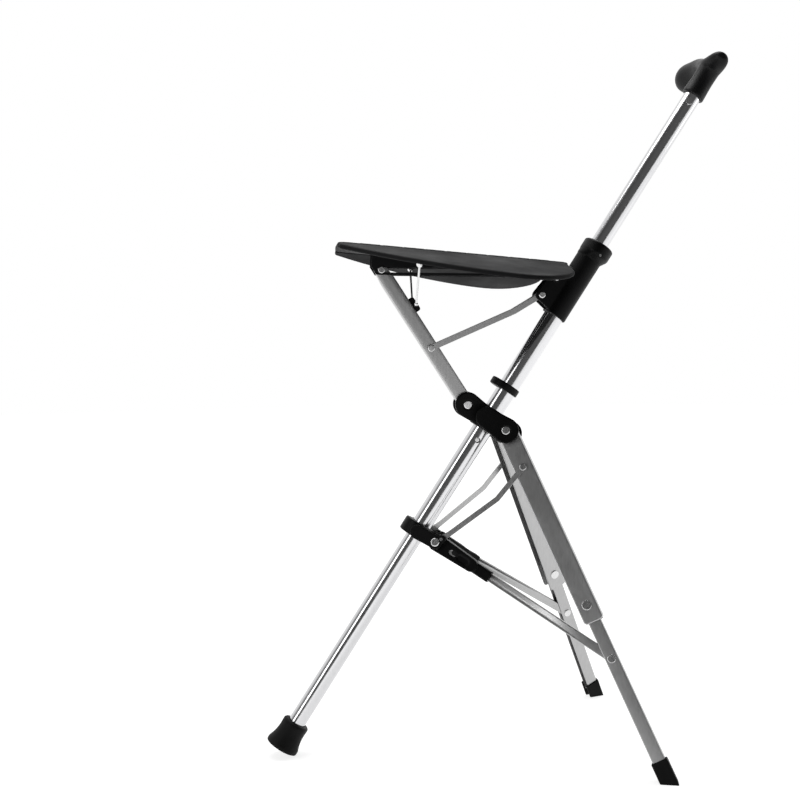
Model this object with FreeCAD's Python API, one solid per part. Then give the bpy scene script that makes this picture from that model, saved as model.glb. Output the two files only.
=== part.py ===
import FreeCAD, Part
import math
import os

# Walking stick seat: a cane whose sliding frame opens into a three-legged stool.
# Everything is modelled upright along the cane (X rearward, Y sideways, Z up the tube)
# and is then tilted to the standing pose, where the three feet meet the floor.
# Lengths are in millimetres and angles in degrees.

V = FreeCAD.Vector

# Standing pose
TILT = 33.2

# Inner tube, the cane itself
CANE_D = 19.0
CANE_WALL = 1.2
CANE_TOP = 872.0
GRIP_DIP = 888.0
NECK_BOTTOM = 841.0
NECK_R = 12.4
TIP_R = 18.0
TIP_TOP_R = 14.6
TIP_H = 31.0
TIP_FLOOR = 8.0
WASHER_H = 2.0

# Outer tube, which slides on the inner tube
FRAME_D = 22.0
FRAME_WALL = 1.1
FRAME_BOTTOM = 282.0
FRAME_TOP = 646.0
FRAME_TRAVEL = 186.0
SEATED = 0.05
GAP = 0.3
RUN = 0.06

# Top bracket
COLLAR_TOP = 651.0
COLLAR_H = 16.0
COLLAR_BACK = 17.8
COLLAR_FRONT = 15.7
COLLAR_SIDE = 22.0
SLEEVE_R = 14.2
SLEEVE_BOTTOM = 560.0
EAR_IN = 8.7
EAR_T = 2.6

# Front linkage: points are (forward of the tube axis, height along the tube)
SEAT_PIVOT = (22.3, 594.7)
BRACE_PIVOT = (24.8, 570.9)
ARM_PIVOT = (28.8, 429.4)
ARM_ANGLE = 65.5
ARM_LEN = 168.7
ARM_RIVET = 71.7
ARM_W = 13.0
ARM_DEPTH = 15.5
ARM_WALL = 1.5
ARM_END_R = 7.0
BRACE_T = 1.6
BRACE_BEND = 34.0
BRACE_BOW = 3.2
BRACE_W = 5.6
PIVOT_R = 2.5
CLIP_FROM_END = 49.0
CLIP_LEN = 16.0
CLIP_DROP = 10.5
CLIP_ROD_R = 1.5

# Sliding block
BLOCK_Z = 428.2
BLOCK_H = 25.0
BLOCK_R = 15.6
BLOCK_DROP = 61.0
LOBE_R = 13.6
FRONT_CHEEK_T = 4.0

# Seat: x runs forward from the seat pivot, z is square to the panel
SEAT_RISE = 5.0
SEAT_FOLDED = 175.0
PANEL_W = 76.8
PANEL_BACK = 8.0
PANEL_FRONT = 234.0
PANEL_TOP = 15.2
PANEL_T = 6.0
PANEL_CORNER = 12.0
RAIL_IN = 9.9
RAIL_T = 2.5
RAIL_START = 46.0
RAIL_END = 197.0
RAIL_DEPTH = 5.2
SEAT_LUG_IN = 11.5
SEAT_LUG_T = 2.6
SEAT_LUG_R = 6.0
WING_T = 5.0
WING_DROOP = 13.5
WING_FOLDED = 90.0
WING_GAP = 0.4
HINGE_R = 2.9
HINGE_PIN_R = 1.2
KNUCKLE_START = 14.0
KNUCKLE_LEN = 22.0
KNUCKLES = 9
WING_WIDTHS = ((233.0, 15.0), (205.0, 35.0), (160.0, 61.0), (115.0, 80.0), (75.0, 91.0),
               (38.0, 91.5), (12.0, 75.0), (-3.0, 44.0))

# Wing wires
WIRE_R = 1.1
WIRE_EYE_R = 3.0
WIRE_BALL_R = 2.0
WIRE_LUG_Y = 9.4
WIRE_LUG_DROP = 12.0
WIRE_END_Y = 20.0
WIRE_PIN_R = 1.2

# Rear legs: each lies in a plane turned about the tube and set off to its side
SPLAY = 22.5
LEG_OFFSET = 15.0
LEG_ANGLE = 57.3
LEG_PIVOT = (28.7, 427.4)
LEG_LEN = 200.0
LEG_W = 17.6
LEG_DEPTH = 21.0
LEG_WALL = 1.4
LEG_TOP_END = 9.0
LEG_LOW_END = 18.5
SHIN_W = 12.0
SHIN_DEPTH = 13.4
SHIN_WALL = 1.2
SHIN_TOP_END = 8.0
SHIN_SHORT = 12.0
SHIN_RIVET_R = 1.6
SHIN_HEAD_R = 4.4
KNEE_HEAD_R = 5.2
STRUT_PIVOT = (28.7, 288.4)
STRUT_W = 9.0
STRUT_DEPTH = 9.0
STRUT_WALL = 1.2
STAY_PIVOT = (32.3, 294.3)
STAY_T = 1.6
STAY_W = 5.4
STAY_BOW = 7.0
STAY_BEND = 0.63
STAY_PIN_R = 1.8
CHEEK_T = 2.8
CUFF_LEN = 67.0
CUFF_STEP = 51.0
CUFF_W = 17.0
CUFF_R = 9.0
CUFF_SMALL_W = 12.4
CUFF_SMALL_DEPTH = 12.0
STRUT_START = 29.0
RUBBER_W = 14.2
RUBBER_DEPTH = 17.4
RUBBER_H = 24.0

# Lower ring and stop disc
RING_Z = 287.0
RING_H = 15.5
RING_R = 17.0
DISC_Z = 467.4
DISC_H = 8.0
DISC_R = 16.5
DISC_SHIFT = 4.1

# Buttons
LOCK_Z = 403.0
LOCK_R = 3.0
LOCK_TRAVEL = 2.2
KEY_Z = 832.0
KEY_TURN = 80.0
KEY_R = 3.5
KEY_OUT = 1.8
KEY_TRAVEL = 1.6
KEY_WAY = 10.0

# Bolt heads
HEAD_R = 4.6
HEAD_H = 1.8
RIVET_R = 3.6
RIVET_H = 1.1


def rad(angle):
    return math.radians(angle)


def box(x0, x1, y0, y1, z0, z1):
    return Part.makeBox(x1 - x0, y1 - y0, z1 - z0, V(x0, y0, z0))


def rod(radius, start, end):
    return Part.makeCylinder(radius, (end - start).Length, start, end - start)


def ring(outer, inner, z0, z1):
    body = Part.makeCylinder(outer, z1 - z0, V(0, 0, z0))
    return body.cut(Part.makeCylinder(inner, z1 - z0 + 2, V(0, 0, z0 - 1)))


def join(shapes):
    result = shapes[0]
    if len(shapes) > 1:
        result = result.fuse(list(shapes[1:]))
    return result.removeSplitter()


def capsule(a, ra, b, rb, y0, y1):
    """Plate between y0 and y1 round two circles at (x, z) points a and b."""
    d = V(b[0] - a[0], 0, b[1] - a[1])
    length = d.Length
    along = V(d).normalize()
    side = V(along.z, 0, -along.x)
    lean = (ra - rb) / length
    out = math.sqrt(1 - lean * lean)
    ca = V(a[0], y0, a[1])
    cb = V(b[0], y0, b[1])
    corners = []
    for centre, radius, sign in ((ca, ra, 1), (cb, rb, 1), (cb, rb, -1), (ca, ra, -1)):
        corners.append(centre + along * (radius * lean) + side * (radius * out * sign))
    plate = Part.Face(Part.makePolygon(corners + corners[:1])).extrude(V(0, y1 - y0, 0))
    discs = [Part.makeCylinder(r, y1 - y0, c, V(0, 1, 0)) for c, r in ((ca, ra), (cb, rb))]
    return join([plate] + discs)


def pin(x, z, radius, y0, y1):
    return Part.makeCylinder(radius, y1 - y0, V(x, y0, z), V(0, 1, 0))


def domed_head(x, z, y, radius, height, sign):
    """Bolt head with a rounded rim on the face at y, standing out along sign."""
    head = Part.makeCylinder(radius, height, V(x, y, z), V(0, sign, 0))
    rim = [e for e in head.Edges if abs(e.CenterOfMass.y - (y + sign * height)) < 0.01]
    return head.makeFillet(height * 0.6, [e for e in rim if e.Closed])


def beam(origin, along, web, shape):
    """Turn a shape built along X, with its web on +Z, to run from origin."""
    side = web.cross(along)
    turn = FreeCAD.Matrix(along.x, side.x, web.x, origin.x,
                          along.y, side.y, web.y, origin.y,
                          along.z, side.z, web.z, origin.z, 0, 0, 0, 1)
    moved = shape.copy()
    moved.transformShape(turn)
    return moved


def channel(x0, x1, width, depth, wall, start_r, end_r):
    """Folded channel along X with rounded ends, web on +Z and open below."""
    half = depth / 2
    outer = box(x0, x1, -width / 2, width / 2, -half, half)
    for x, radius in ((x0, start_r), (x1, end_r)):
        ends = [e for e in outer.Edges if e.BoundBox.YLength > width - 0.1
                and abs(e.CenterOfMass.x - x) < 0.01]
        outer = outer.makeFillet(radius, ends)
    top = [e for e in outer.Edges if e.BoundBox.XLength > (x1 - x0) * 0.5
           and e.CenterOfMass.z > half - 0.1]
    outer = outer.makeFillet(wall * 0.8, top)
    hollow = box(x0 - 1, x1 + 1, -width / 2 + wall, width / 2 - wall, -half - 1, half - wall)
    return outer.cut(hollow)


def leg_dir(angle):
    """Direction in a leg's plane, measured from straight down and turning outward."""
    return V(math.sin(rad(angle)), 0, -math.cos(rad(angle)))


def leg_point(pair, w=0.0):
    return V(pair[0], LEG_OFFSET + w, pair[1])


def to_leg(shape, side):
    """Turn a shape from the leg plane into the cane's frame, right (+1) or left (-1)."""
    moved = shape.copy()
    moved.rotate(V(0, 0, 0), V(0, 0, 1), SPLAY)
    if side < 0:
        moved = moved.mirror(V(0, 0, 0), V(0, 1, 0))
    return moved


def both_legs(shape):
    return [to_leg(shape, 1), to_leg(shape, -1)]


# Sizes that follow from the driving ones
CANE_R = CANE_D / 2
FRAME_R = FRAME_D / 2
FRAME_BORE = FRAME_R - FRAME_WALL
TIP_Z = TIP_R * math.tan(rad(TILT))
LEG_FLANGE = LEG_W / 2
STAY_IN = LEG_FLANGE + 0.5
CHEEK_IN = STAY_IN + STAY_T + GAP
CHEEK_OUT = CHEEK_IN + CHEEK_T
ARM_HALF = ARM_W / 2
BRACE_IN = ARM_HALF + GAP
EAR_OUT = EAR_IN + EAR_T
FRONT_CHEEK_IN = ARM_HALF + GAP + 0.1
FRONT_CHEEK_OUT = FRONT_CHEEK_IN + FRONT_CHEEK_T


def solve(gap, low, high):
    """Root of a rising or falling function between two limits, by halving."""
    start = gap(low)
    for _ in range(60):
        middle = (low + high) / 2
        if (gap(middle) > 0) == (start > 0):
            low = middle
        else:
            high = middle
    return (low + high) / 2


def span(ax, az, bx, bz):
    return math.hypot(bx - ax, bz - az)


def leg_at(distance):
    d = leg_dir(LEG_ANGLE)
    return (LEG_PIVOT[0] + d.x * distance, LEG_PIVOT[1] + d.z * distance)


def strut_mismatch(extra):
    knee = leg_at(LEG_LEN + extra)
    folded = LEG_PIVOT[1] - BLOCK_DROP + LEG_LEN - extra - STRUT_PIVOT[1]
    return span(*STRUT_PIVOT, *knee) - folded


def stay_mismatch(distance):
    foot = leg_at(distance)
    folded = span(*STAY_PIVOT, LEG_PIVOT[0], LEG_PIVOT[1] - BLOCK_DROP + distance)
    return span(*STAY_PIVOT, *foot) - folded


# Distances that make the linkage close both open and folded
KNEE_DROP = solve(strut_mismatch, 20.0, 100.0)
STAY_ON_LEG = solve(stay_mismatch, 20.0, 90.0)
KNEE = leg_at(LEG_LEN)
STRUT_END = leg_at(LEG_LEN + KNEE_DROP)
STRUT_LEN = span(*STRUT_PIVOT, *STRUT_END)
STRUT_ANGLE = math.degrees(math.atan2(STRUT_END[0] - STRUT_PIVOT[0],
                                      STRUT_PIVOT[1] - STRUT_END[1]))
STAY_END = leg_at(STAY_ON_LEG)
STAY_LEN = span(*STAY_PIVOT, *STAY_END)


def world_height(point):
    """Height above the floor of a point in the leg plane, before the final shift."""
    x = point.x * math.cos(rad(SPLAY)) - point.y * math.sin(rad(SPLAY))
    return point.z * math.cos(rad(TILT)) - x * math.sin(rad(TILT))


def shin_reach():
    d = leg_dir(LEG_ANGLE)
    knee = leg_point(KNEE)
    return solve(lambda s: world_height(knee + d * s), 100.0, 400.0)


SHIN_LEN = shin_reach()

# Front linkage in the cane's frame, where forward is -X
ARM_DIR = V(-math.sin(rad(ARM_ANGLE)), 0, math.cos(rad(ARM_ANGLE)))
ARM_BASE = V(-ARM_PIVOT[0], 0, ARM_PIVOT[1])
ARM_TIP = ARM_BASE + ARM_DIR * ARM_LEN
ARM_RIVET_AT = ARM_BASE + ARM_DIR * ARM_RIVET
ARM_WEB = V(-math.cos(rad(ARM_ANGLE)), 0, -math.sin(rad(ARM_ANGLE)))
BRACE_AT = V(-BRACE_PIVOT[0], 0, BRACE_PIVOT[1])
BRACE_LEN = (ARM_RIVET_AT - BRACE_AT).Length
BRACE_DIR = (ARM_RIVET_AT - BRACE_AT).normalize()

# Seat frame: forward along the panel, which rises a little towards the front
SEAT_AT = V(-SEAT_PIVOT[0], 0, SEAT_PIVOT[1])
SEAT_DIR = V(-math.cos(rad(TILT - SEAT_RISE)), 0, -math.sin(rad(TILT - SEAT_RISE)))
SEAT_UP = V(-math.sin(rad(TILT - SEAT_RISE)), 0, math.cos(rad(TILT - SEAT_RISE)))


def in_seat(point):
    rel = point - SEAT_AT
    return (rel.dot(SEAT_DIR), rel.dot(SEAT_UP))


TRACK_FRONT = in_seat(ARM_TIP)
FOLDED_TIP = V(-ARM_PIVOT[0] + SEAT_PIVOT[0], 0,
               ARM_PIVOT[1] - BLOCK_DROP + ARM_LEN - SEAT_PIVOT[1])
FOLDED_DIR = V(-math.sin(rad(SEAT_FOLDED)), 0, math.cos(rad(SEAT_FOLDED)))
FOLDED_UP = V(math.cos(rad(SEAT_FOLDED)), 0, math.sin(rad(SEAT_FOLDED)))
TRACK_REAR = (FOLDED_TIP.dot(FOLDED_DIR), FOLDED_TIP.dot(FOLDED_UP))


def to_seat(shape):
    """Move a shape from the seat's frame (x forward, z up) into the cane's frame."""
    return beam(SEAT_AT, SEAT_DIR, SEAT_UP, shape)


def tip_foot():
    """Flared rubber tip turned about the tube, with a grooved sole."""
    top = TIP_Z + TIP_H
    waist = (TIP_TOP_R + TIP_R) / 2 - 1.2
    pts = [V(0, 0, TIP_Z), V(TIP_R, 0, TIP_Z), V(TIP_R, 0, TIP_Z + 4)]
    curve = Part.Arc(pts[2], V(waist, 0, TIP_Z + TIP_H * 0.45), V(TIP_TOP_R, 0, top - 5))
    edges = [Part.makeLine(pts[0], pts[1]), Part.makeLine(pts[1], pts[2]), curve.toShape(),
             Part.makeLine(V(TIP_TOP_R, 0, top - 5), V(TIP_TOP_R, 0, top - 1.5)),
             Part.makeLine(V(TIP_TOP_R, 0, top - 1.5), V(TIP_TOP_R - 1.5, 0, top)),
             Part.makeLine(V(TIP_TOP_R - 1.5, 0, top), V(0, 0, top)),
             Part.makeLine(V(0, 0, top), pts[0])]
    body = Part.Face(Part.Wire(edges)).revolve(V(0, 0, 0), V(0, 0, 1), 360)
    body = Part.Solid(body) if body.ShapeType != "Solid" else body
    socket = Part.makeCylinder(CANE_R + SEATED, TIP_H, V(0, 0, TIP_Z + TIP_FLOOR))
    grooves = [ring(r + 1.2, r, TIP_Z - 1, TIP_Z + 1.2) for r in (5.0, 10.0, 14.5)]
    return body.cut([socket] + grooves)


def tip_washer():
    z0 = TIP_Z + TIP_FLOOR
    return Part.makeCylinder(CANE_R, WASHER_H, V(0, 0, z0))


def key_axis():
    return V(-math.cos(rad(KEY_TURN)), -math.sin(rad(KEY_TURN)), 0)


def cane_tube():
    """Inner tube with holes for the lock buttons and the handle's button."""
    body = ring(CANE_R, CANE_R - CANE_WALL, TIP_Z + TIP_FLOOR + WASHER_H, CANE_TOP)
    holes = [pin(0, LOCK_Z, LOCK_R + RUN, -FRAME_D, FRAME_D)]
    holes.append(rod(KEY_R + RUN, V(0, 0, KEY_Z), V(0, 0, KEY_Z) + key_axis() * FRAME_D))
    return body.cut(holes)


def lock_button(side):
    """Snap button, pressed in by the outer tube in the standing pose."""
    outer = side * (FRAME_BORE - 0.6)
    button = rod(LOCK_R, V(0, side * 4.0, LOCK_Z), V(0, outer, LOCK_Z))
    rim = [e for e in button.Edges if abs(e.CenterOfMass.y - outer) < 0.01 and e.Closed]
    button = button.makeFillet(1.2, rim)
    collar = rod(LOCK_R + 1.2, V(0, side * 3.2, LOCK_Z), V(0, side * 4.0, LOCK_Z))
    return join([button, collar])


def lock_spring():
    """Folded leaf spring that carries the two lock buttons inside the tube."""
    leaf = []
    for side in (1, -1):
        y0, y1 = sorted((side * 2.3, side * 2.9))
        leaf.append(box(-3.0, 3.0, y0, y1, LOCK_Z - 34.0, LOCK_Z + 6.0))
    bend = Part.makeCylinder(2.9, 6.0, V(-3.0, 0, LOCK_Z - 34.0), V(1, 0, 0))
    bend = bend.cut(Part.makeCylinder(2.3, 8.0, V(-4.0, 0, LOCK_Z - 34.0), V(1, 0, 0)))
    bend = bend.cut(box(-4, 4, -4, 4, LOCK_Z - 34.0, LOCK_Z))
    return join(leaf + [bend])


def key_button():
    """Sprung button under the handle, pressed towards the tube axis."""
    axis = key_axis()
    centre = V(0, 0, KEY_Z)
    button = rod(KEY_R, centre + axis * 5.0, centre + axis * (CANE_R + KEY_OUT))
    flange = rod(KEY_R + 0.8, centre + axis * 4.2, centre + axis * 5.0)
    return join([button, flange])


def key_spring():
    """Coil spring behind the handle's button, drawn as a thin sleeve."""
    axis = key_axis()
    centre = V(0, 0, KEY_Z)
    sleeve = rod(2.4, centre - axis * 8.0, centre + axis * 2.4)
    return sleeve.cut(rod(1.7, centre - axis * 9.0, centre + axis * 3.0))


def ring_points(x, y, z, rx, rr, normal, count=16):
    pts = []
    for k in range(count):
        a = 2 * math.pi * k / count
        if normal == "y":
            pts.append(V(x + rx * math.cos(a), y, z + rr * math.sin(a)))
        else:
            pts.append(V(x + rx * math.cos(a), y + rr * math.sin(a), z))
    return pts


def smooth_ring(pts):
    curve = Part.BSplineCurve()
    curve.interpolate(pts, True)
    return Part.Wire([curve.toShape()])


def grip():
    """Derby handle: rising beak to one side, short thumb rest to the other."""
    top = GRIP_DIP
    stations = ((95.0, -6.0, 6.0, 6.0), (91.0, -6.0, 12.0, 12.0), (80.0, -5.0, 16.0, 15.0),
                (64.0, -2.0, 14.5, 12.4), (44.0, 0.0, 12.4, 9.6), (20.0, -6.0, 12.4, 9.6),
                (0.0, -9.5, 12.2, 10.0), (-11.0, -7.5, 11.4, 8.4), (-19.0, -5.0, 10.2, 7.4),
                (-25.0, -3.0, 7.6, 5.6), (-28.0, -2.4, 3.6, 2.6))
    rings = [smooth_ring(ring_points(0, y, top + dz, rx, rz, "y")) for y, dz, rx, rz in stations]
    bar = Part.makeLoft(rings, True, False)
    neck_stations = ((NECK_BOTTOM, 0, NECK_R, NECK_R), (NECK_BOTTOM + 10, 0, 12.0, 11.6),
                     (NECK_BOTTOM + 22, 0, 11.6, 11.0), (NECK_BOTTOM + 30, 1.0, 11.8, 13.5),
                     (NECK_BOTTOM + 36, 2.5, 12.0, 18.0))
    rings = [smooth_ring(ring_points(0, y, z, rx, ry, "z")) for z, y, rx, ry in neck_stations]
    neck = Part.makeLoft(rings, True, False)
    body = join([bar, neck])
    socket = Part.makeCylinder(CANE_R + SEATED, CANE_TOP - NECK_BOTTOM + 1,
                               V(0, 0, NECK_BOTTOM - 1))
    return body.cut(socket)


def keyway(outer):
    """Groove down from the collar's top that takes in the handle's button."""
    axis = key_axis()
    across = V(axis.y, -axis.x, 0)
    half = KEY_R + GAP
    corners = [across * half, across * -half, across * -half + axis * outer, across * half + axis * outer]
    corners = [c + V(0, 0, COLLAR_TOP - KEY_WAY) for c in corners]
    return Part.Face(Part.makePolygon(corners + corners[:1])).extrude(V(0, 0, KEY_WAY + 2))


def frame_tube():
    """Outer tube with a hole on each side for the lock buttons."""
    body = ring(FRAME_R, FRAME_BORE, FRAME_BOTTOM, FRAME_TOP)
    return body.cut([pin(0, LOCK_Z, LOCK_R + GAP, -FRAME_D, FRAME_D), keyway(FRAME_D)])


def top_bracket():
    """Moulded bracket: flared collar, sleeve and two ears for seat and brace."""
    middle = (COLLAR_BACK - COLLAR_FRONT) / 2
    half = (COLLAR_BACK + COLLAR_FRONT) / 2
    z0 = COLLAR_TOP - COLLAR_H
    levels = ((z0 - 2.0, -0.8, SLEEVE_R + 0.5, SLEEVE_R + 0.5),
              (z0 + 3.0, middle, half - 0.6, COLLAR_SIDE - 0.8),
              (z0 + 5.0, middle, half, COLLAR_SIDE), (COLLAR_TOP - 1.2, middle, half, COLLAR_SIDE),
              (COLLAR_TOP, middle, half - 1.2, COLLAR_SIDE - 1.2))
    rings = [smooth_ring(ring_points(x, 0, z, rx, ry, "z")) for z, x, rx, ry in levels]
    collar = Part.makeLoft(rings, True, True)
    sleeve = Part.makeCylinder(SLEEVE_R, z0 + 4.0 - SLEEVE_BOTTOM, V(-0.8, 0, SLEEVE_BOTTOM))
    seat_eye = (SEAT_AT.x, SEAT_AT.z)
    brace_eye = (BRACE_AT.x, BRACE_AT.z)
    ears = []
    for y0, y1 in ((EAR_IN, EAR_OUT), (-EAR_OUT, -EAR_IN)):
        ears.append(capsule(seat_eye, 6.4, brace_eye, 6.6, y0, y1))
        root = [V(SEAT_AT.x, y0, SEAT_AT.z + 6.3), V(0, y0, SEAT_AT.z + 8.0),
                V(0, y0, SLEEVE_BOTTOM), V(BRACE_AT.x, y0, BRACE_AT.z - 6.5)]
        face = Part.Face(Part.makePolygon(root + root[:1]))
        ears.append(face.extrude(V(0, y1 - y0, 0)))
    body = join([collar, sleeve] + ears)
    bore = Part.makeCylinder(FRAME_R + SEATED, FRAME_TOP - SLEEVE_BOTTOM + 20, V(0, 0, SLEEVE_BOTTOM - 20))
    mouth = Part.makeCylinder(CANE_R + GAP, 20, V(0, 0, FRAME_TOP - 1))
    eyes = [pin(BRACE_AT.x, BRACE_AT.z, PIVOT_R + SEATED, -30, 30),
            pin(SEAT_AT.x, SEAT_AT.z, PIVOT_R + SEATED, -30, 30)]
    slot = box(-60, -FRAME_R - 1.2, -EAR_IN, EAR_IN, SLEEVE_BOTTOM - 20, SEAT_AT.z + 20)
    hole = rod(1.3 + SEATED, V(3.9, -60, COLLAR_TOP - 12.0), V(3.9, 0, COLLAR_TOP - 12.0))
    return body.cut([bore, mouth, slot, keyway(FRAME_R + 2.0), hole] + eyes)


def collar_pin():
    """Small pin through the collar's side that fixes it to the outer tube."""
    z = COLLAR_TOP - 12.0
    return rod(1.3, V(3.9, -COLLAR_SIDE + 0.6, z), V(3.9, -FRAME_R, z))


def seat_pin(side):
    """Stub pin held in one ear, in line with the seat's screw."""
    y0, y1 = sorted((side * (EAR_IN - 0.6), side * EAR_OUT))
    return pin(SEAT_AT.x, SEAT_AT.z, PIVOT_R, y0, y1)


def brace_bolt():
    """Bolt across the ears on which the braces turn."""
    shank = pin(BRACE_AT.x, BRACE_AT.z, PIVOT_R, -EAR_OUT, EAR_OUT)
    heads = [domed_head(BRACE_AT.x, BRACE_AT.z, s * EAR_OUT, RIVET_R, HEAD_H, s) for s in (1, -1)]
    return join([shank] + heads)


def stop_disc():
    """Eccentric ring on the outer tube that the block closes against."""
    z0 = DISC_Z - DISC_H / 2
    disc = Part.makeCylinder(DISC_R, DISC_H, V(-DISC_SHIFT, 0, z0))
    rims = [e for e in disc.Edges if e.Closed]
    disc = disc.makeFillet(1.2, rims)
    return disc.cut(Part.makeCylinder(FRAME_R + SEATED, 40, V(0, 0, z0 - 10)))


def lower_ring():
    """Moulded ring that carries the struts and stays between its cheeks."""
    z0 = RING_Z - RING_H / 2
    hub = Part.makeCylinder(RING_R, RING_H, V(-2.0, 0, z0))
    hub = hub.makeFillet(1.5, [e for e in hub.Edges if e.Closed])
    parts = [hub]
    for y0, y1 in ((CHEEK_IN, CHEEK_OUT), (-CHEEK_OUT + 1.2, -CHEEK_IN + 1.2)):
        w0 = LEG_OFFSET + y0
        w1 = LEG_OFFSET + y1
        cheek = capsule((6.0, RING_Z), RING_H / 2 - 0.2, STRUT_PIVOT, 7.2, w0, w1)
        knuckle = capsule(STRUT_PIVOT, 5.4, STAY_PIVOT, 4.6, w0, w1)
        parts += both_legs(join([cheek, knuckle]))
    bridge = box(4.0, 13.5, LEG_OFFSET - CHEEK_OUT + 1.2, LEG_OFFSET + CHEEK_OUT,
                 z0 + 1.0, z0 + RING_H - 1.0)
    parts += both_legs(bridge)
    bore = Part.makeCylinder(FRAME_R + SEATED, 60, V(0, 0, FRAME_BOTTOM))
    throat = Part.makeCylinder(CANE_R + GAP, 60, V(0, 0, z0 - 20))
    shank = pin(STRUT_PIVOT[0], STRUT_PIVOT[1], PIVOT_R + SEATED, 0, 60)
    stay_eye = pin(STAY_PIVOT[0], STAY_PIVOT[1], STAY_PIN_R + SEATED, LEG_OFFSET + STAY_IN - 2, 60)
    return join(parts).cut([bore, throat] + both_legs(shank) + both_legs(stay_eye))


def strut_screws():
    """Cross-head screws through the ring's cheeks, one for each strut."""
    x, z = STRUT_PIVOT
    w0 = LEG_OFFSET - CHEEK_OUT + 1.2
    w1 = LEG_OFFSET + CHEEK_OUT
    screw = join([pin(x, z, PIVOT_R, w0, w1), domed_head(x, z, w1, HEAD_R, HEAD_H, 1)])
    cross = [box(x - 2.4, x + 2.4, w1 + 1.0, w1 + 3, z - 0.4, z + 0.4),
             box(x - 0.4, x + 0.4, w1 + 1.0, w1 + 3, z - 2.4, z + 2.4)]
    return Part.Compound(both_legs(screw.cut(cross)))


def stay_pins():
    """Pins in the ring's outer cheeks that carry the stays."""
    x, z = STAY_PIVOT
    return Part.Compound(both_legs(pin(x, z, STAY_PIN_R, LEG_OFFSET + STAY_IN, LEG_OFFSET + CHEEK_OUT)))


def sliding_block():
    """Moulded block with one front clevis and two splayed rear clevises."""
    z0 = BLOCK_Z - BLOCK_H / 2
    parts = [Part.makeCylinder(BLOCK_R, BLOCK_H, V(0, 0, z0))]
    for y0, y1 in ((FRONT_CHEEK_IN, FRONT_CHEEK_OUT), (-FRONT_CHEEK_OUT, -FRONT_CHEEK_IN)):
        parts.append(capsule((0.0, BLOCK_Z), BLOCK_H / 2 - 1.5, (ARM_BASE.x, ARM_BASE.z), LOBE_R, y0, y1))
    rear = []
    for y0, y1 in ((CHEEK_IN, CHEEK_OUT), (-CHEEK_OUT + 1.6, -CHEEK_IN + 1.6)):
        w0 = LEG_OFFSET + y0
        w1 = LEG_OFFSET + y1
        rear.append(capsule((3.0, BLOCK_Z), BLOCK_H / 2 - 1.5, LEG_PIVOT, LOBE_R, w0, w1))
    rear.append(box(0.0, 14.2, LEG_OFFSET - CHEEK_OUT + 1.6, LEG_OFFSET + CHEEK_OUT,
                    z0 + 1.5, z0 + BLOCK_H - 1.5))
    rear.append(pin(LEG_PIVOT[0], LEG_PIVOT[1], 4.2, LEG_OFFSET + LEG_FLANGE + 0.25, LEG_OFFSET + CHEEK_IN))
    for piece in rear:
        parts += both_legs(piece)
    cuts = [Part.makeCylinder(FRAME_R + GAP, BLOCK_H + 40, V(0, 0, z0 - 20)),
            pin(ARM_BASE.x, ARM_BASE.z, PIVOT_R + SEATED, -30, 30)]
    for s in (1, -1):
        y0, y1 = sorted((s * (FRONT_CHEEK_OUT - 1.4), s * 40))
        cuts.append(pin(ARM_BASE.x, ARM_BASE.z, HEAD_R + GAP, y0, y1))
    outer_eye = pin(LEG_PIVOT[0], LEG_PIVOT[1], PIVOT_R + SEATED, 0, 60)
    recess = pin(LEG_PIVOT[0], LEG_PIVOT[1], HEAD_R + GAP, LEG_OFFSET + CHEEK_OUT - 1.2, 60)
    return join(parts).cut(cuts + both_legs(outer_eye) + both_legs(recess))


def arm_bolt():
    """Bolt across the block's front clevis, on which the front arm turns."""
    y = FRONT_CHEEK_OUT - 1.4
    shank = pin(ARM_BASE.x, ARM_BASE.z, PIVOT_R, -y, y)
    heads = [domed_head(ARM_BASE.x, ARM_BASE.z, s * y, HEAD_R, HEAD_H, s) for s in (1, -1)]
    return join([shank] + heads)


def leg_bolts():
    """Shoulder bolts of the rear legs: an outer and an inner one for each leg."""
    x, z = LEG_PIVOT
    inside = LEG_FLANGE - LEG_WALL
    seat = LEG_OFFSET + CHEEK_OUT - 1.2
    outer = join([pin(x, z, PIVOT_R, LEG_OFFSET + inside, seat), domed_head(x, z, seat, HEAD_R, HEAD_H, 1)])
    inner = pin(x, z, PIVOT_R, LEG_OFFSET - CHEEK_OUT + 1.6, LEG_OFFSET - inside)
    return Part.Compound(both_legs(outer) + both_legs(inner))


def front_arm():
    """Folded channel from the sliding block up to the seat's track."""
    body = channel(-8.0, ARM_LEN + ARM_END_R, ARM_W, ARM_DEPTH, ARM_WALL, 5.0, 3.0)
    trims = []
    nose = ARM_LEN - 14.0
    for sign in (1, -1):
        edge = [V(nose, -20, sign * ARM_DEPTH / 2), V(ARM_LEN + 20, -20, sign * ARM_DEPTH / 2),
                V(ARM_LEN + 20, -20, sign * 4.0)]
        trims.append(Part.Face(Part.makePolygon(edge + edge[:1])).extrude(V(0, 40, 0)))
    holes = [Part.makeCylinder(PIVOT_R + RUN, 40, V(x, -20, 0), V(0, 1, 0)) for x in (0.0, ARM_LEN)]
    return beam(ARM_BASE, ARM_DIR, ARM_WEB, body.cut(trims + holes))


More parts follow.
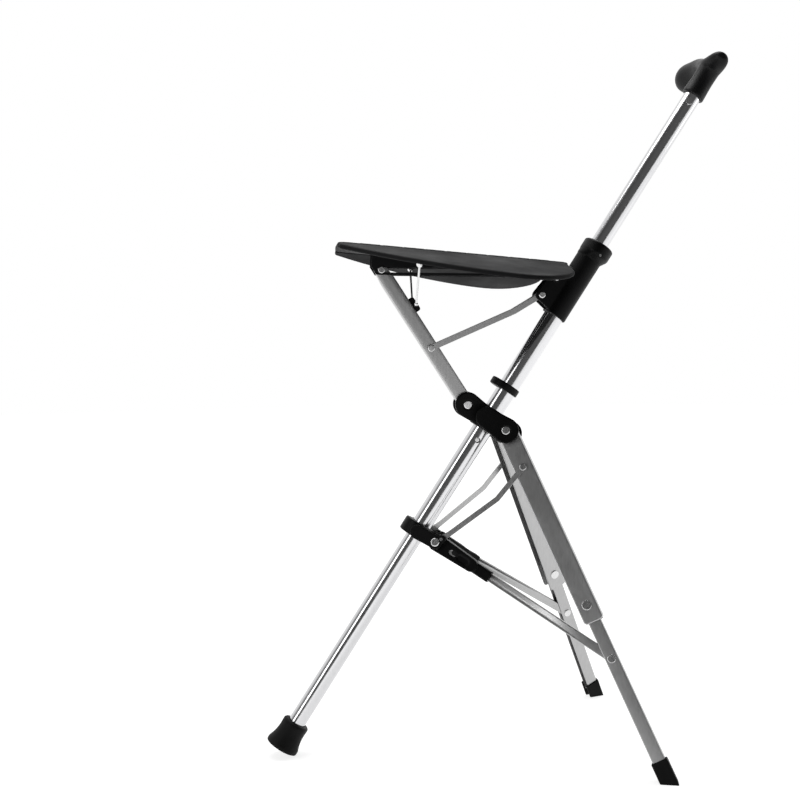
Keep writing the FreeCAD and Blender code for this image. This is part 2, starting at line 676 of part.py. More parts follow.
def wire_clip():
    """Moulded plug in the arm's open side, which seats the wing wires' lower ends."""
    x1 = ARM_LEN - CLIP_FROM_END + CLIP_LEN / 2
    half = ARM_HALF - ARM_WALL - SEATED
    plug = box(x1 - CLIP_LEN, x1, -half, half, -CLIP_DROP - 3.0, ARM_DEPTH / 2 - ARM_WALL - SEATED)
    ends = [e for e in plug.Edges if e.BoundBox.YLength > half and e.CenterOfMass.z < -CLIP_DROP]
    plug = plug.makeFillet(2.4, ends)
    reach = WIRE_END_Y - WIRE_BALL_R - GAP
    cross = Part.makeCylinder(CLIP_ROD_R, 2 * reach, V(x1 - CLIP_LEN / 2, -reach, -CLIP_DROP), V(0, 1, 0))
    return beam(ARM_BASE, ARM_DIR, ARM_WEB, join([plug, cross]))


def brace(side):
    """Flat brace from the bracket's ear to the middle of the front arm."""
    y0, y1 = sorted((side * BRACE_IN, side * (BRACE_IN + BRACE_T)))
    half = BRACE_W / 2
    bend = (BRACE_BEND, BRACE_BOW)
    bar = join([capsule((0, 0), half + 1.0, (7.0, 0.6), half, y0, y1), capsule((0, 0), half, bend, half, y0, y1),
                capsule(bend, half, (BRACE_LEN, 0), half, y0, y1),
                capsule((BRACE_LEN - 7.0, 0.2), half, (BRACE_LEN, 0), half + 1.0, y0, y1)])
    eye = Part.makeCylinder(PIVOT_R + RUN, 40, V(0, -20, 0), V(0, 1, 0))
    up = V(-BRACE_DIR.z, 0, BRACE_DIR.x)
    return beam(BRACE_AT, BRACE_DIR, up, bar.cut(eye))


def brace_rivets():
    """Rivet heads at the braces' lower ends."""
    heads = []
    for s in (1, -1):
        y = s * (BRACE_IN + BRACE_T)
        heads.append(domed_head(ARM_RIVET_AT.x, ARM_RIVET_AT.z, y, RIVET_R, RIVET_H, s))
    return Part.Compound(heads)


def glider():
    """Cross pin on the arm's end, whose ends run in the slots under the seat."""
    reach = RAIL_IN + RAIL_T + 0.4
    body = pin(ARM_TIP.x, ARM_TIP.z, PIVOT_R, -reach, reach)
    heads = [domed_head(ARM_TIP.x, ARM_TIP.z, s * reach, RIVET_R, RIVET_H, s) for s in (1, -1)]
    return join([body] + heads)


def knuckle_span(k):
    """Start and end of a hinge knuckle along the panel's edge."""
    start = KNUCKLE_START + k * KNUCKLE_LEN
    return (start + 0.15, start + KNUCKLE_LEN - 0.15)


def barrel(k, radius, bore):
    x0, x1 = knuckle_span(k)
    outer = Part.makeCylinder(radius, x1 - x0, V(x0, 0, 0), V(1, 0, 0))
    return outer.cut(Part.makeCylinder(bore, x1 - x0 + 2, V(x0 - 1, 0, 0), V(1, 0, 0)))


def seat_panel():
    """Centre panel with rounded ends, hinge knuckles and rear lugs."""
    half = PANEL_W / 2
    z1 = PANEL_TOP
    z0 = PANEL_TOP - PANEL_T
    slab = box(-PANEL_BACK, PANEL_FRONT, -half, half, z0, z1)
    corners = [e for e in slab.Edges if e.BoundBox.ZLength > PANEL_T - 0.1]
    slab = slab.makeFillet(PANEL_CORNER, corners)
    top = [e for e in slab.Edges if abs(e.CenterOfMass.z - z1) < 0.01]
    slab = slab.makeFillet(1.6, top)
    parts = [slab]
    for y0, y1 in ((SEAT_LUG_IN, SEAT_LUG_IN + SEAT_LUG_T), (-SEAT_LUG_IN - SEAT_LUG_T, -SEAT_LUG_IN)):
        lug = capsule((0.0, 0.0), SEAT_LUG_R, (5.0, z0 + 1.0), SEAT_LUG_R + 2.0, y0, y1)
        parts.append(lug.common(box(-30, 30, y0, y1, -20, z0 + 1.0)))
    for s in (1, -1):
        for k in range(0, KNUCKLES, 2):
            x0, x1 = knuckle_span(k)
            y0, y1 = sorted((s * (half - 1.0), s * WING_Y))
            arm = box(x0, x1, y0, y1, WING_Z - 1.1, WING_Z + 1.1)
            eye = Part.makeCylinder(HINGE_R, x1 - x0, V(x0, s * WING_Y, WING_Z), V(1, 0, 0))
            parts.append(join([arm, eye]))
    body = join(parts)
    for s in (1, -1):
        body = body.cut(Part.makeCylinder(HINGE_PIN_R + SEATED, 400, V(-50, s * WING_Y, WING_Z), V(1, 0, 0)))
    return to_seat(body)


def track(side):
    """Rail under the panel, with the slot that the arm's cross pin runs in."""
    z0 = PANEL_TOP - PANEL_T
    y0, y1 = sorted((side * RAIL_IN, side * (RAIL_IN + RAIL_T)))
    back = TRACK_REAR[1] - RAIL_DEPTH
    front = TRACK_FRONT[1] - RAIL_DEPTH
    outline = [V(RAIL_START, y0, z0), V(RAIL_START, y0, TRACK_REAR[1]),
               V(RAIL_START + 6.0, y0, back), V(TRACK_REAR[0], y0, back),
               V(TRACK_FRONT[0], y0, front), V(TRACK_FRONT[0] + 5.0, y0, front),
               V(RAIL_END, y0, front + 8.0), V(RAIL_END, y0, z0)]
    rail = Part.Face(Part.makePolygon(outline + outline[:1])).extrude(V(0, y1 - y0, 0))
    flange = box(RAIL_START, RAIL_END, *sorted((side * RAIL_IN, side * (RAIL_IN + 9.0))), z0 - 1.6, z0)
    slot = capsule(TRACK_REAR, PIVOT_R + 0.1, TRACK_FRONT, PIVOT_R + 0.1, y0 - 1, y1 + 1)
    return to_seat(join([rail, flange]).cut(slot))


def seat_screws():
    """Screws in the seat's rear lugs, in line with the bracket's stub pins."""
    heads = [domed_head(0, 0, s * (SEAT_LUG_IN + SEAT_LUG_T), RIVET_R + 0.2, RIVET_H + 0.3, s)
             for s in (1, -1)]
    return to_seat(Part.Compound(heads))


def hinge_pins():
    """Long pins through the knuckles along both edges of the panel."""
    x0 = knuckle_span(0)[0] + 1.0
    x1 = knuckle_span(KNUCKLES - 1)[1] - 1.0
    pins = [Part.makeCylinder(HINGE_PIN_R, x1 - x0, V(x0, s * WING_Y, WING_Z), V(1, 0, 0)) for s in (1, -1)]
    return to_seat(Part.Compound(pins))


def seat_side(side):
    """Sign of y in the seat's own frame for the cane's right (+1) or left (-1)."""
    return -side


def to_wing(shape, side):
    """Move a shape from the wing's frame (x along its hinge, y outward) into the cane's."""
    moved = shape.copy()
    moved.rotate(V(0, 0, 0), V(1, 0, 0), -WING_DROOP)
    moved.translate(V(0, WING_Y, WING_Z))
    if seat_side(side) < 0:
        moved = moved.mirror(V(0, 0, 0), V(0, 1, 0))
    return to_seat(moved)


def wing(side):
    """Side wing: a plate that droops from the panel's edge on its hinge."""
    pts = [V(x, w, -WING_T / 2) for x, w in WING_WIDTHS]
    curve = Part.BSplineCurve()
    curve.interpolate(pts)
    first = V(pts[0].x, 0.0, pts[0].z)
    last = V(pts[-1].x, 0.0, pts[0].z)
    edges = [Part.makeLine(first, pts[0]), curve.toShape(), Part.makeLine(pts[-1], last),
             Part.makeLine(last, first)]
    plate = Part.Face(Part.Wire(edges)).extrude(V(0, 0, WING_T))
    rim = [e for e in plate.Edges if e.BoundBox.ZLength < 0.1 and e.BoundBox.YMax > HINGE_R]
    plate = plate.makeFillet(2.0, rim)
    start = HINGE_R + 0.5
    plate = plate.cut(box(-60, 300, -5, start, -20, 20))
    parts = [plate]
    for k in range(1, KNUCKLES, 2):
        x0, x1 = knuckle_span(k)
        arm = box(x0, x1, 0, start + 1.0, -1.1, 1.1)
        eye = Part.makeCylinder(HINGE_R, x1 - x0, V(x0, 0, 0), V(1, 0, 0))
        parts += [arm, eye]
    axis, lug = WIRE_AXIS, WIRE_LUG
    foot = lug - axis * 3.4
    parts.append(rod(2.4, foot, V(foot.x, foot.y, -WING_T / 2 + 0.5)))
    parts.append(Part.makeSphere(2.4, foot))
    body = join(parts)
    bore = Part.makeCylinder(HINGE_PIN_R + RUN, 400, V(-50, 0, 0), V(1, 0, 0))
    seat = rod(WIRE_PIN_R + SEATED, foot - axis * 0.6, lug + axis * 9)
    return to_wing(body.cut([bore, seat]), side)


def wire_pin(side):
    """Short pin in the wing's lug on which the wire's eye turns."""
    foot = WIRE_LUG - WIRE_AXIS * 3.4
    head = WIRE_LUG + WIRE_AXIS * 1.4
    shank = rod(WIRE_PIN_R, foot - WIRE_AXIS * 0.6, head)
    return to_wing(join([shank, rod(2.1, head, head + WIRE_AXIS * 0.8)]), side)


def wing_wire(side):
    """Wire from the wing's lug down to the clip on the front arm."""
    eye = rod(WIRE_EYE_R, WIRE_LUG - WIRE_AXIS * 1.1, WIRE_LUG + WIRE_AXIS * 1.1)
    end = WIRE_LUG + WIRE_OPEN * WIRE_LEN
    body = eye.fuse([rod(WIRE_R, WIRE_LUG + WIRE_OPEN * 2.0, end), Part.makeSphere(WIRE_BALL_R, end, WIRE_OPEN)])
    return to_wing(body.cut(rod(WIRE_PIN_R + RUN, WIRE_LUG - WIRE_AXIS * 4, WIRE_LUG + WIRE_AXIS * 4)), side)


def leg_upper(side):
    """Upper rear leg: folded channel, open underneath, that takes in the lower leg."""
    body = channel(-LEG_TOP_END, LEG_LEN + LEG_LOW_END, LEG_W, LEG_DEPTH, LEG_WALL, 7.0, 4.0)
    holes = [Part.makeCylinder(r, 60, V(x, -30, 0), V(0, 1, 0))
             for x, r in ((0.0, PIVOT_R + RUN), (LEG_LEN, PIVOT_R + SEATED))]
    return to_leg(beam(leg_point(LEG_PIVOT), leg_dir(LEG_ANGLE), LEG_UP, body.cut(holes)), side)


def knee_rivet(side):
    """Rivet through the upper leg's end, on which the lower leg turns."""
    x, z = KNEE
    y0, y1 = LEG_OFFSET - LEG_FLANGE, LEG_OFFSET + LEG_FLANGE
    body = join([pin(x, z, PIVOT_R, y0, y1), domed_head(x, z, y1, KNEE_HEAD_R, RIVET_H, 1),
                 domed_head(x, z, y0, KNEE_HEAD_R, RIVET_H, -1)])
    return to_leg(body, side)


def leg_lower(side):
    """Lower rear leg: narrower channel that folds back inside the upper one."""
    body = channel(-SHIN_TOP_END, SHIN_LEN - SHIN_SHORT, SHIN_W, SHIN_DEPTH, SHIN_WALL, 5.6, 1.0)
    holes = [Part.makeCylinder(r, 60, V(x, -30, 0), V(0, 1, 0))
             for x, r in ((0.0, PIVOT_R + RUN), (KNEE_DROP, SHIN_RIVET_R + SEATED))]
    return to_leg(beam(leg_point(KNEE), leg_dir(LEG_ANGLE), LEG_UP, body.cut(holes)), side)


def strut_rivets(side):
    """Rivets in the lower leg's flanges where the strut's end closes."""
    half = SHIN_W / 2
    rivets = []
    for s in (1, -1):
        y0, y1 = sorted((s * (half - SHIN_WALL), s * half))
        shank = Part.makeCylinder(SHIN_RIVET_R, y1 - y0, V(KNEE_DROP, y0, 0), V(0, 1, 0))
        head = domed_head(KNEE_DROP, 0, s * half, SHIN_HEAD_R, 1.0, s)
        rivets.append(join([shank, head]))
    return to_leg(beam(leg_point(KNEE), leg_dir(LEG_ANGLE), LEG_UP, Part.Compound(rivets)), side)


def floor_box():
    """Block below the floor, in the cane's frame."""
    block = box(-900, 900, -900, 900, -200, 0)
    block.rotate(V(0, 0, 0), V(0, 1, 0), -TILT)
    return block


def rubber_foot(side):
    """Rubber foot over the lower leg's end, slotted so that the strut folds through it."""
    top = SHIN_LEN - RUBBER_H
    body = box(top, SHIN_LEN + 16, -RUBBER_W / 2, RUBBER_W / 2, -RUBBER_DEPTH / 2, RUBBER_DEPTH / 2)
    body = body.makeFillet(1.2, [e for e in body.Edges if e.CenterOfMass.x < SHIN_LEN + 15.9])
    end = SHIN_LEN - SHIN_SHORT + SEATED
    half = SHIN_W / 2 + SEATED
    deep = SHIN_DEPTH / 2 + SEATED
    slot_half = SHIN_W / 2 - SHIN_WALL
    slot = box(top - 1, SHIN_LEN + 20, -slot_half, slot_half, -20, SHIN_DEPTH / 2 - SHIN_WALL)
    body = body.cut([box(top - 1, end, -half, half, -deep, deep), slot])
    placed = to_leg(beam(leg_point(KNEE), leg_dir(LEG_ANGLE), LEG_UP, body), side)
    return placed.cut(floor_box())


def strut(side):
    """Strut channel from its moulded end piece out to the lower leg."""
    body = channel(STRUT_START, STRUT_LEN + 4.8, STRUT_W, STRUT_DEPTH, STRUT_WALL, 0.6, 3.6)
    return to_leg(beam(leg_point(STRUT_PIVOT), leg_dir(STRUT_ANGLE), STRUT_UP, body), side)


def cuff(side):
    """Moulded end piece of the strut: wide at its pivot, stepped down to the channel."""
    half = CUFF_W / 2
    wide = capsule((0, 0), CUFF_R, (CUFF_STEP - 7.0, 0), 7.0, -half, half)
    slim = box(CUFF_STEP - 4.0, CUFF_LEN, -CUFF_SMALL_W / 2, CUFF_SMALL_W / 2,
               -CUFF_SMALL_DEPTH / 2, CUFF_SMALL_DEPTH / 2)
    slim = slim.makeFillet(1.5, [e for e in slim.Edges if e.BoundBox.XLength > 5])
    body = join([wide, slim])
    cuts = [Part.makeCylinder(PIVOT_R + RUN, 60, V(0, -30, 0), V(0, 1, 0)),
            box(STRUT_START - SEATED, CUFF_LEN + 5, -STRUT_W / 2 - SEATED, STRUT_W / 2 + SEATED,
                -STRUT_DEPTH / 2 - SEATED, STRUT_DEPTH / 2 + SEATED),
            capsule((19.0, 0), 2.6, (23.0, 0), 2.6, -30, 30)]
    for s in (1, -1):
        y0, y1 = sorted((s * (half - 0.9), s * 30))
        cuts.append(capsule((30.0, 0), 3.6, (38.0, 0), 3.6, y0, y1))
    for z in (-5.2, 5.2):
        cuts.append(Part.makeCylinder(1.0 + SEATED, 60, V(4.0, -30, z), V(0, 1, 0)))
    return to_leg(beam(leg_point(STRUT_PIVOT), leg_dir(STRUT_ANGLE), STRUT_UP, body.cut(cuts)), side)


def cuff_pins(side):
    """Two small pins across the strut's end piece beside its pivot."""
    half = CUFF_W / 2
    pins = [Part.makeCylinder(1.0, 2 * half, V(4.0, -half, z), V(0, 1, 0)) for z in (-5.2, 5.2)]
    return to_leg(beam(leg_point(STRUT_PIVOT), leg_dir(STRUT_ANGLE), STRUT_UP, Part.Compound(pins)), side)


def stay(side):
    """Bent flat strip from the lower ring up to the upper leg's outer face."""
    y0, y1 = STAY_IN, STAY_IN + STAY_T
    half = STAY_W / 2
    bend = (STAY_LEN * STAY_BEND, -STAY_BOW)
    end = (STAY_LEN, 0)
    body = join([capsule((0, 0), 3.8, (8.0, -0.5), half, y0, y1), capsule((0, 0), half, bend, half, y0, y1),
                 capsule(bend, half, end, half, y0, y1), capsule((STAY_LEN - 4, -0.5), half, end, 3.8, y0, y1)])
    body = body.cut(Part.makeCylinder(STAY_PIN_R + RUN, 60, V(0, -30, 0), V(0, 1, 0)))
    return to_leg(beam(leg_point(STAY_PIVOT), STAY_DIR, STAY_SIDE, body), side)


def stay_rivet(side):
    """Rivet head at the stay's upper end."""
    x, z = STAY_END
    return to_leg(domed_head(x, z, LEG_OFFSET + STAY_IN + STAY_T, RIVET_R, RIVET_H, 1), side)


# Directions and wire geometry that follow from the sizes above
LEG_UP = V(math.cos(rad(LEG_ANGLE)), 0, math.sin(rad(LEG_ANGLE)))
STRUT_UP = V(math.cos(rad(STRUT_ANGLE)), 0, math.sin(rad(STRUT_ANGLE)))
STAY_DIR = V(STAY_END[0] - STAY_PIVOT[0], 0, STAY_END[1] - STAY_PIVOT[1]).normalize()
STAY_SIDE = V(-STAY_DIR.z, 0, STAY_DIR.x)
WING_Y = PANEL_W / 2 + WING_GAP + HINGE_R
WING_Z = PANEL_TOP - PANEL_T / 2


def wing_turn(vector, angle):
    """Vector in the wing's frame turned down by the angle into the seat's frame."""
    c, s = math.cos(rad(angle)), math.sin(rad(angle))
    return V(vector.x, vector.y * c + vector.z * s, -vector.y * s + vector.z * c)


def wire_ends(x, angle):
    """Lug and clip points in the seat's frame, open (droop angle) or folded."""
    lug = wing_turn(V(x, WIRE_LUG_Y, -WIRE_LUG_DROP), angle) + V(0, WING_Y, WING_Z)
    if angle == WING_DROOP:
        clip = ARM_BASE + ARM_DIR * (ARM_LEN - CLIP_FROM_END) - ARM_WEB * CLIP_DROP - SEAT_AT
        along, up = clip.dot(SEAT_DIR), clip.dot(SEAT_UP)
    else:
        clip = FOLDED_TIP - V(0, 0, CLIP_FROM_END) + V(CLIP_DROP, 0, 0)
        along, up = clip.dot(FOLDED_DIR), clip.dot(FOLDED_UP)
    return lug, V(along, WIRE_END_Y, up)


def wire_mismatch(x):
    a, b = wire_ends(x, WING_DROOP)
    c, d = wire_ends(x, WING_FOLDED)
    return (a - b).Length - (c - d).Length


WIRE_LUG_X = solve(wire_mismatch, 110.0, 190.0)
WIRE_LUG = V(WIRE_LUG_X, WIRE_LUG_Y, -WIRE_LUG_DROP)
OPEN_ENDS = wire_ends(WIRE_LUG_X, WING_DROOP)
FOLDED_ENDS = wire_ends(WIRE_LUG_X, WING_FOLDED)
WIRE_LEN = (OPEN_ENDS[1] - OPEN_ENDS[0]).Length
WIRE_OPEN = wing_turn((OPEN_ENDS[1] - OPEN_ENDS[0]).normalize(), -WING_DROOP)
WIRE_FOLDED = wing_turn((FOLDED_ENDS[1] - FOLDED_ENDS[0]).normalize(), -WING_FOLDED)
WIRE_AXIS = WIRE_OPEN.cross(WIRE_FOLDED).normalize()
WIRE_SWING = math.degrees(math.acos(WIRE_OPEN.dot(WIRE_FOLDED)))


def nodes():
    """All pieces by name, in the cane's frame."""
    made = {
        "inner_tube": cane_tube(),
        "handle": grip(),
        "main_foot": tip_foot(),
        "foot_washer": tip_washer(),
        "lock_spring": lock_spring(),
        "key_spring": key_spring(),
        "handle_button": key_button(),
        "outer_tube": frame_tube(),
        "top_bracket": top_bracket(),
        "collar_pin": collar_pin(),
        "seat_pins": Part.Compound([seat_pin(1), seat_pin(-1)]),
        "brace_bolt": brace_bolt(),
        "stop_disc": stop_disc(),
        "lower_ring": lower_ring(),
        "strut_screws": strut_screws(),
        "stay_pins": stay_pins(),
        "sliding_block": sliding_block(),
        "arm_bolt": arm_bolt(),
        "leg_bolts": leg_bolts(),
        "front_arm": front_arm(),
        "wire_clip": wire_clip(),
        "brace_bars": Part.Compound([brace(1), brace(-1)]),
        "brace_rivets": brace_rivets(),
        "glider_pin": glider(),
        "seat_panel": seat_panel(),
        "seat_tracks": Part.Compound([track(1), track(-1)]),
        "seat_screws": seat_screws(),
        "hinge_pins": hinge_pins(),
    }
    for name, side in (("right", 1), ("left", -1)):
        made["lock_button_" + name] = lock_button(side)
        made["wing_" + name] = wing(side)
        made["wire_pin_" + name] = wire_pin(side)
        made["wing_wire_" + name] = wing_wire(side)
        made["upper_leg_" + name] = leg_upper(side)
        made["knee_rivet_" + name] = knee_rivet(side)
        made["lower_leg_" + name] = leg_lower(side)
        made["strut_rivets_" + name] = strut_rivets(side)
        made["rubber_foot_" + name] = rubber_foot(side)
        made["strut_" + name] = strut(side)
        made["strut_end_" + name] = cuff(side)
        made["strut_end_pins_" + name] = cuff_pins(side)
        made["stay_" + name] = stay(side)
        made["stay_rivet_" + name] = stay_rivet(side)
    return made


def stand(shapes):
    """Tilt the pieces to the standing pose and centre them over the origin."""
    placed = {}
    for name, shape in shapes.items():
        moved = shape.copy()
        moved.rotate(V(0, 0, 0), V(0, 1, 0), TILT)
        placed[name] = moved
    bounds = FreeCAD.BoundBox()
    for shape in placed.values():
        bounds.add(shape.optimalBoundingBox(False, False))
    shift = V(-bounds.Center.x, -bounds.Center.y, -bounds.ZMin)
    for shape in placed.values():
        shape.translate(shift)
    return placed, shift


def main():
    os.makedirs("parts", exist_ok=True)
    placed, shift = stand(nodes())
    for name, shape in placed.items():
        shape.exportStep("parts/" + name + ".step")


if __name__ == "__main__":
    main()
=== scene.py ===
"""Visual model of a walking stick seat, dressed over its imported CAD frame."""

import logging
import math
from dataclasses import dataclass
from enum import Enum
from typing import Callable, Optional, Sequence, Union

import bmesh
import bpy
from mathutils import Matrix, Vector


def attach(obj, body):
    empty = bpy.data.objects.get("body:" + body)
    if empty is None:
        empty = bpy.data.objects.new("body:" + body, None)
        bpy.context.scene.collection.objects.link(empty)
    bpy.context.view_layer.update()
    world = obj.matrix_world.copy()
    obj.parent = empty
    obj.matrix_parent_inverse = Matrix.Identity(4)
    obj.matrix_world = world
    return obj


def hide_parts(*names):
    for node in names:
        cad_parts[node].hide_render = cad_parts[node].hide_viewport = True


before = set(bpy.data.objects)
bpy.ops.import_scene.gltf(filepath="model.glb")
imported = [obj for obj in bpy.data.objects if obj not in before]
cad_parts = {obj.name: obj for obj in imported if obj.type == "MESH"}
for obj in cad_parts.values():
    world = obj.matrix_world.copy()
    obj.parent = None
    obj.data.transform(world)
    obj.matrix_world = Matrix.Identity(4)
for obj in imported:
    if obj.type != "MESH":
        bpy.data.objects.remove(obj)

log = logging.getLogger("scene")
MM = 0.001
BLACK = (0.0, 0.0, 0.0)
WHITE = (1.0, 1.0, 1.0)
Number = Union[int, float]
Point = tuple[float, float, float]
Pair = tuple[float, float]


class Side(Enum):
    """Side of the stick: right is +Y, where the handle's beak points."""

    RIGHT = 1
    LEFT = -1

    @property
    def label(self) -> str:
        """Name used in node and body names.

        Returns:
            The side in lower case.
        """
        return self.name.lower()


class Coat(Enum):
    """How the surface reflects light."""

    POLISHED = "polished"
    SATIN = "satin"
    MOULDED = "moulded"
    RUBBER = "rubber"


@dataclass(frozen=True)
class Finish:
    """Numbers of one surface finish.

    Args:
        name: material name.
        coat: kind of surface.
        color: base colour, linear.
        rough: roughness in the middle of its range.
        metal: metallic value.
        grain: size of the surface grain in metres.
        relief: height of the bump, in metres.
        worn: how much the roughness and colour vary over the surface.
        gleam: specular level.
        slot: slot of the record that the finish belongs to; not used.
    """

    name: str
    coat: Coat
    color: Point
    rough: float
    metal: float
    grain: float
    relief: float
    worn: float
    gleam: float
    slot: str


class Finishes:
    """All finishes of the stick."""

    TUBE = Finish("polished_tube", Coat.POLISHED, (0.66, 0.66, 0.67),
                  0.11, 1.0, 0.02, 0.000002, 0.03, 1.0, "polished_tube")
    CHANNEL = Finish("leg_channel", Coat.SATIN, (0.46, 0.46, 0.46),
                     0.34, 1.0, 0.0015, 0.000012, 0.06, 1.0, "leg_channel")
    MOULDING = Finish("black_moulding", Coat.MOULDED, (0.0035, 0.0035, 0.0037),
                      0.44, 0.0, 0.0011, 0.000012, 0.25, 0.11, "black_moulding")
    SEAT = Finish("seat_plastic", Coat.MOULDED, (0.015, 0.015, 0.0155),
                  0.62, 0.0, 0.0009, 0.00003, 0.20, 0.07, "seat_plastic")
    GRIP = Finish("grip_plastic", Coat.MOULDED, (0.0045, 0.0045, 0.0048),
                  0.42, 0.0, 0.0012, 0.00001, 0.20, 0.18, "grip_plastic")
    RUBBER = Finish("black_rubber", Coat.RUBBER, (0.0040, 0.0040, 0.0040),
                    0.60, 0.0, 0.0014, 0.00004, 0.30, 0.14, "black_rubber")
    STEEL = Finish("bright_steel", Coat.POLISHED, (0.72, 0.72, 0.72),
                   0.20, 1.0, 0.002, 0.000003, 0.05, 1.0, "bright_steel")
    SPRING = Finish("spring_steel", Coat.SATIN, (0.45, 0.45, 0.46),
                    0.34, 1.0, 0.002, 0.000005, 0.06, 1.0, "spring_steel")


def operator(kind: str, swap: bool = False) -> Callable[["Wire", "Value"], "Wire"]:
    """Make an arithmetic method that adds a Math node.

    Args:
        kind: operation of the Math node.
        swap: put the other value first, for the reflected form.

    Returns:
        The method.
    """
    def method(self: "Wire", other: "Value") -> "Wire":
        """Join this value and another in one Math node.

        Args:
            other: the other value.

        Returns:
            The result.
        """
        left, right = (other, self) if swap else (self, other)
        return self.graph.add("ShaderNodeMath", {"operation": kind}, {0: left, 1: right})
    return method


class Wire:
    """One value in a material's maths, with arithmetic that adds Math nodes.

    Args:
        graph: node tree that the value belongs to.
        socket: output that carries it, or none for an output node.
    """

    def __init__(self, graph: "Graph", socket: Optional[bpy.types.NodeSocket]) -> None:
        """Keep the tree and the output.

        Args:
            graph: node tree that the value belongs to.
            socket: output that carries it, or none for an output node.
        """
        self.graph = graph
        self.socket = socket

    __add__, __radd__ = operator("ADD"), operator("ADD", swap=True)
    __sub__, __rsub__ = operator("SUBTRACT"), operator("SUBTRACT", swap=True)
    __mul__, __rmul__ = operator("MULTIPLY"), operator("MULTIPLY", swap=True)
    __truediv__, __rtruediv__ = operator("DIVIDE"), operator("DIVIDE", swap=True)
    __pow__, __rpow__ = operator("POWER"), operator("POWER", swap=True)

    def output(self, name: str) -> "Wire":
        """Another output of the same node.

        Args:
            name: the output's name.

        Returns:
            That output as a wire.
        """
        return Wire(self.graph, self.socket.node.outputs[name])

    def ramp(self, low: float, high: float, start: float = 0.0, stop: float = 1.0) -> "Wire":
        """Map this value from low..high to start..stop, clamped.

        Args:
            low: value that gives start.
            high: value that gives stop.
            start: result at low.
            stop: result at high.

        Returns:
            The mapped value.
        """
        return self.graph.add("ShaderNodeMapRange", {"clamp": True},
                              {0: self, 1: low, 2: high, 3: start, 4: stop})


Value = Union[Wire, Number, Sequence[float]]


class Graph:
    """Node tree of one material or world."""

    def __init__(self, block: Union[bpy.types.Material, bpy.types.World]) -> None:
        """Empty the tree of a material or world.

        Args:
            block: material or world that the nodes go into.
        """
        block.use_nodes = True
        self.block = block
        self.tree = block.node_tree
        self.tree.nodes.clear()

    def add(self, kind: str, settings: Optional[dict] = None, values: Optional[dict] = None,
            out: Union[int, str] = 0) -> Wire:
        """Add a node of any type.

        Args:
            kind: node type.
            settings: node properties by name.
            values: numbers or wires by input name or index.
            out: output that the result stands for.

        Returns:
            The chosen output as a wire.
        """
        node = self.tree.nodes.new(kind)
        for key, setting in (settings or {}).items():
            setattr(node, key, setting)
        for key, value in (values or {}).items():
            target = node.inputs[key]
            if isinstance(value, Wire):
                self.tree.links.new(value.socket, target)
            else:
                target.default_value = value
        return Wire(self, node.outputs[out] if node.outputs else None)

    def tint(self, low: Sequence[float], high: Sequence[float], factor: Wire) -> Wire:
        """Colour between two colours.

        Args:
            low: colour at 0.
            high: colour at 1.
            factor: where between them.

        Returns:
            The mixed colour.
        """
        return self.add("ShaderNodeMix", {"data_type": "RGBA"},
                        {0: factor, 6: (*low, 1.0), 7: (*high, 1.0)}, out=2)


@dataclass(frozen=True)
class Texture:
    """Numbers that all finishes share.

    Args:
        band: part of a noise that is stretched over the full range.
        broad: scale of the large patches.
        broad_detail: layers of noise in the patches.
        fine_detail: layers of noise in the fine grain.
        fine_rough: strength of the grain's finer layers.
        dust: scale of the dust on moulded pieces.
        dust_detail: layers of noise in the dust.
        dust_share: part of the dust in a moulded piece's colour, and of the patches.
        dust_band: the same as band, for the dust.
        patch_band: the same as band, for the patches in the dust's colour.
        dark: how far wear darkens a moulded piece.
        pale: how far wear lightens it.
        haze: light that dust adds at least.
        shine: how far wear lightens metal.
        jitter: roughness that the fine grain adds or takes.
        lean: slope of the stick, degrees: metal is brushed along it.
        brush: scale of the brush marks on each axis.
        brush_detail: layers of noise in the brush marks.
        streak: roughness that the brush marks add.
        bump: strength of the bump.
    """

    band: Pair = (0.3, 0.7)
    broad: float = 22.0
    broad_detail: float = 4.0
    fine_detail: float = 3.0
    fine_rough: float = 0.6
    dust: float = 90.0
    dust_detail: float = 6.0
    dust_share: float = 0.5
    dust_band: Pair = (0.45, 0.75)
    patch_band: Pair = (0.35, 0.65)
    dark: float = 0.25
    pale: float = 1.2
    haze: float = 0.0006
    shine: float = 0.5
    jitter: float = 0.04
    lean: float = 33.2
    brush: Point = (600.0, 600.0, 9.0)
    brush_detail: float = 2.0
    streak: float = 0.04
    bump: float = 0.35


